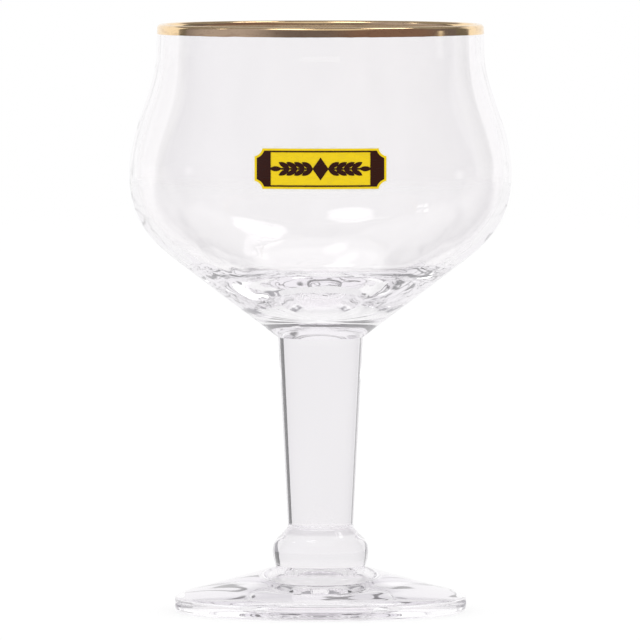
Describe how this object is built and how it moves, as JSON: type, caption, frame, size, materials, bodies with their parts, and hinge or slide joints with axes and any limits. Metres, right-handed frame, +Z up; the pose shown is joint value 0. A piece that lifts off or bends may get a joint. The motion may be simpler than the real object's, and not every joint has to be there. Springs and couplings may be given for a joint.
{
  "type": "chalice beer glass",
  "caption": "Footed beer chalice: wide-bellied clear bowl with a gilded lip and a small enamel badge, on a tapered solid stem, a knop and a broad foot.",
  "frame": {"origin": "centre of the foot at table level", "axes": "+Z up along the glass's axis, -Y out through the badge, the side that faces the drinker"},
  "size_m": [0.1061, 0.1063, 0.1631],
  "materials": {
    "clear_glass": "clear fire-polished soda glass",
    "gilding": "bright fired gold, mirror-smooth",
    "white_enamel": "glossy fired enamel",
    "yellow_enamel": "glossy fired enamel",
    "brown_enamel": "glossy fired enamel"
  },
  "bodies": {
    "root": {"bowl": "clear_glass", "stem": "clear_glass", "knop": "clear_glass", "foot": "clear_glass", "gilt_rim": "gilding", "badge_white": "white_enamel", "badge_yellow": "yellow_enamel", "badge_brown": "brown_enamel"}
  },
  "joints": []
}
